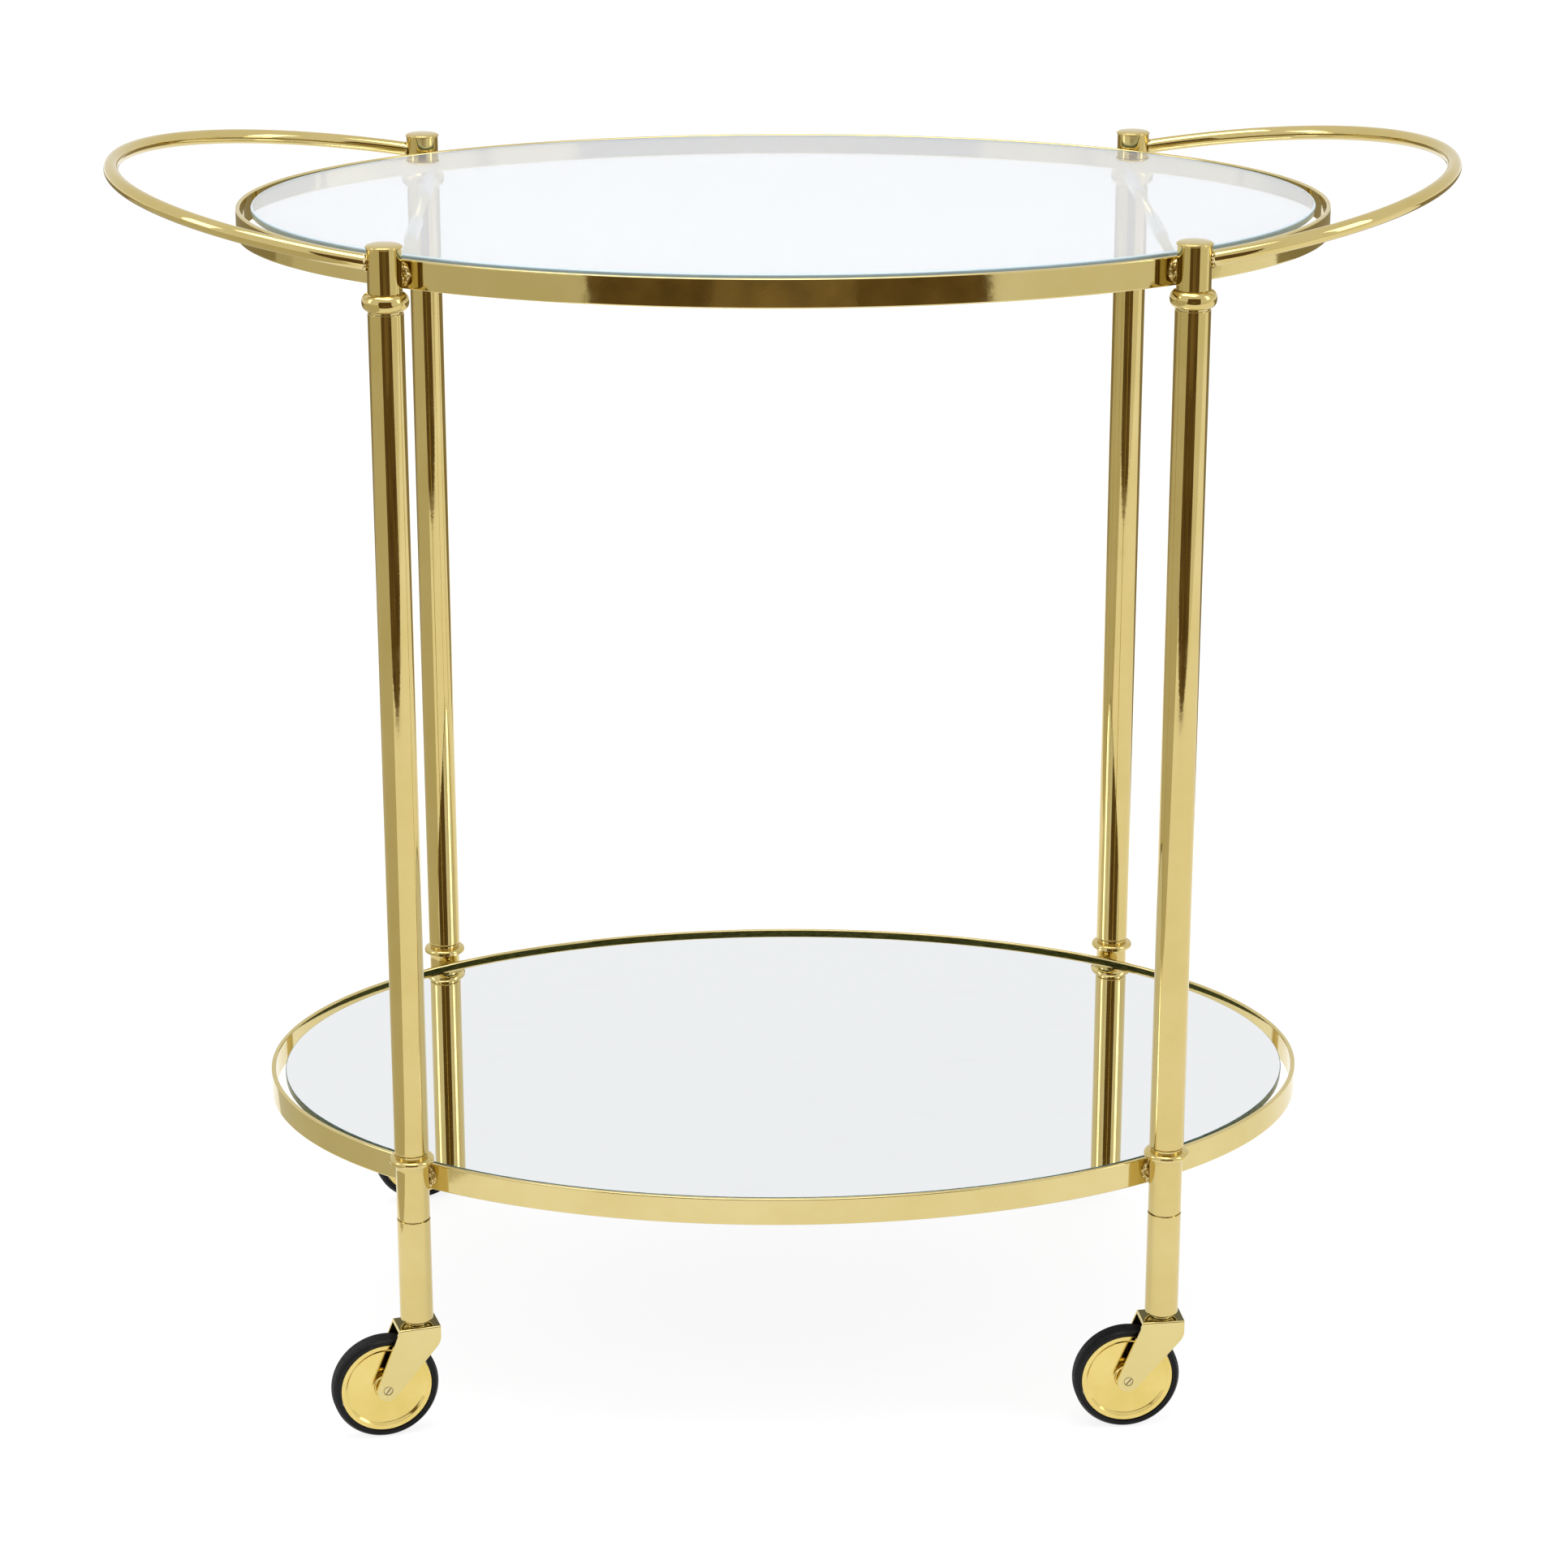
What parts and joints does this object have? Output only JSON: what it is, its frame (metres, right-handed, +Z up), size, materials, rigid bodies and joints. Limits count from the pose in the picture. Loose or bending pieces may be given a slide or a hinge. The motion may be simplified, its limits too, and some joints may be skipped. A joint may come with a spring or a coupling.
{
  "type": "bar cart",
  "caption": "Oval tiered bar cart with a clear glass top, a mirrored lower shelf, looped side handles, turned tubular legs and swivel caster wheels.",
  "frame": {"origin": "on the floor, under the centre of the cart", "axes": "+X to the right from handle to handle, +Y to the rear, +Z up"},
  "size_m": [0.8614, 0.481, 0.8056],
  "materials": {
    "polished_brass": "polished light gold plating on steel tube and strip",
    "wheel_brass": "polished yellow gold plating",
    "clear_glass": "clear tempered float glass with a polished edge",
    "silvered_mirror": "silvered mirror glass with a polished green edge",
    "tyre_rubber": "black rubber, fine grained",
    "clear_sleeve": "clear soft plastic tube",
    "plated_steel": "bright plated steel"
  },
  "bodies": {
    "frame": {"upper_hoop": "polished_brass", "lower_hoop": "polished_brass", "top_glass": "clear_glass", "lower_mirror": "silvered_mirror", "left_handle": "polished_brass", "upper_left_rod": "polished_brass", "upper_left_front_sleeve": "clear_sleeve", "upper_left_rear_sleeve": "clear_sleeve", "lower_left_rod": "polished_brass", "lower_left_sleeve": "clear_sleeve", "right_handle": "polished_brass", "upper_right_rod": "polished_brass", "upper_right_front_sleeve": "clear_sleeve", "upper_right_rear_sleeve": "clear_sleeve", "lower_right_rod": "polished_brass", "lower_right_sleeve": "clear_sleeve", "front_left_post_cap": "polished_brass", "front_left_upper_post": "polished_brass", "front_left_bead_collar": "polished_brass", "front_left_leg_tube": "polished_brass", "front_left_lower_socket": "polished_brass", "front_left_foot_tube": "polished_brass", "front_left_caster_stem": "plated_steel", "front_right_post_cap": "polished_brass", "front_right_upper_post": "polished_brass", "front_right_bead_collar": "polished_brass", "front_right_leg_tube": "polished_brass", "front_right_lower_socket": "polished_brass", "front_right_foot_tube": "polished_brass", "front_right_caster_stem": "plated_steel", "rear_left_post_cap": "polished_brass", "rear_left_upper_post": "polished_brass", "rear_left_bead_collar": "polished_brass", "rear_left_leg_tube": "polished_brass", "rear_left_lower_socket": "polished_brass", "rear_left_foot_tube": "polished_brass", "rear_left_caster_stem": "plated_steel", "rear_right_post_cap": "polished_brass", "rear_right_upper_post": "polished_brass", "rear_right_bead_collar": "polished_brass", "rear_right_leg_tube": "polished_brass", "rear_right_lower_socket": "polished_brass", "rear_right_foot_tube": "polished_brass", "rear_right_caster_stem": "plated_steel"},
    "front_left_swivel": {"front_left_fork": "polished_brass", "front_left_axle": "plated_steel"},
    "front_left_roller": {"front_left_wheel": "wheel_brass", "front_left_tyre": "tyre_rubber"},
    "front_right_swivel": {"front_right_fork": "polished_brass", "front_right_axle": "plated_steel"},
    "front_right_roller": {"front_right_wheel": "wheel_brass", "front_right_tyre": "tyre_rubber"},
    "rear_left_swivel": {"rear_left_fork": "polished_brass", "rear_left_axle": "plated_steel"},
    "rear_left_roller": {"rear_left_wheel": "wheel_brass", "rear_left_tyre": "tyre_rubber"},
    "rear_right_swivel": {"rear_right_fork": "polished_brass", "rear_right_axle": "plated_steel"},
    "rear_right_roller": {"rear_right_wheel": "wheel_brass", "rear_right_tyre": "tyre_rubber"}
  },
  "joints": [
    {"name": "front_left_swivel_turn", "type": "hinge", "parent": "frame", "child": "front_left_swivel", "pos_m": [-0.242, -0.18758, 0.08], "axis": [0, 0, 1], "continuous": true},
    {"name": "front_left_wheel_spin", "type": "hinge", "parent": "front_left_swivel", "child": "front_left_roller", "pos_m": [-0.26357, -0.19397, 0.035], "axis": [0.284, -0.9588, 0], "continuous": true},
    {"name": "front_right_swivel_turn", "type": "hinge", "parent": "frame", "child": "front_right_swivel", "pos_m": [0.242, -0.18758, 0.08], "axis": [0, 0, 1], "continuous": true},
    {"name": "front_right_wheel_spin", "type": "hinge", "parent": "front_right_swivel", "child": "front_right_roller", "pos_m": [0.21962, -0.18993, 0.035], "axis": [0.1045, -0.9945, 0], "continuous": true},
    {"name": "rear_left_swivel_turn", "type": "hinge", "parent": "frame", "child": "rear_left_swivel", "pos_m": [-0.242, 0.18758, 0.08], "axis": [0, 0, 1], "continuous": true},
    {"name": "rear_left_wheel_spin", "type": "hinge", "parent": "rear_left_swivel", "child": "rear_left_roller", "pos_m": [-0.26314, 0.17988, 0.035], "axis": [0.342, -0.9397, 0], "continuous": true},
    {"name": "rear_right_swivel_turn", "type": "hinge", "parent": "frame", "child": "rear_right_swivel", "pos_m": [0.242, 0.18758, 0.08], "axis": [0, 0, 1], "continuous": true},
    {"name": "rear_right_wheel_spin", "type": "hinge", "parent": "rear_right_swivel", "child": "rear_right_roller", "pos_m": [0.21956, 0.18915, 0.035], "axis": [-0.0698, -0.9976, 0], "continuous": true}
  ]
}
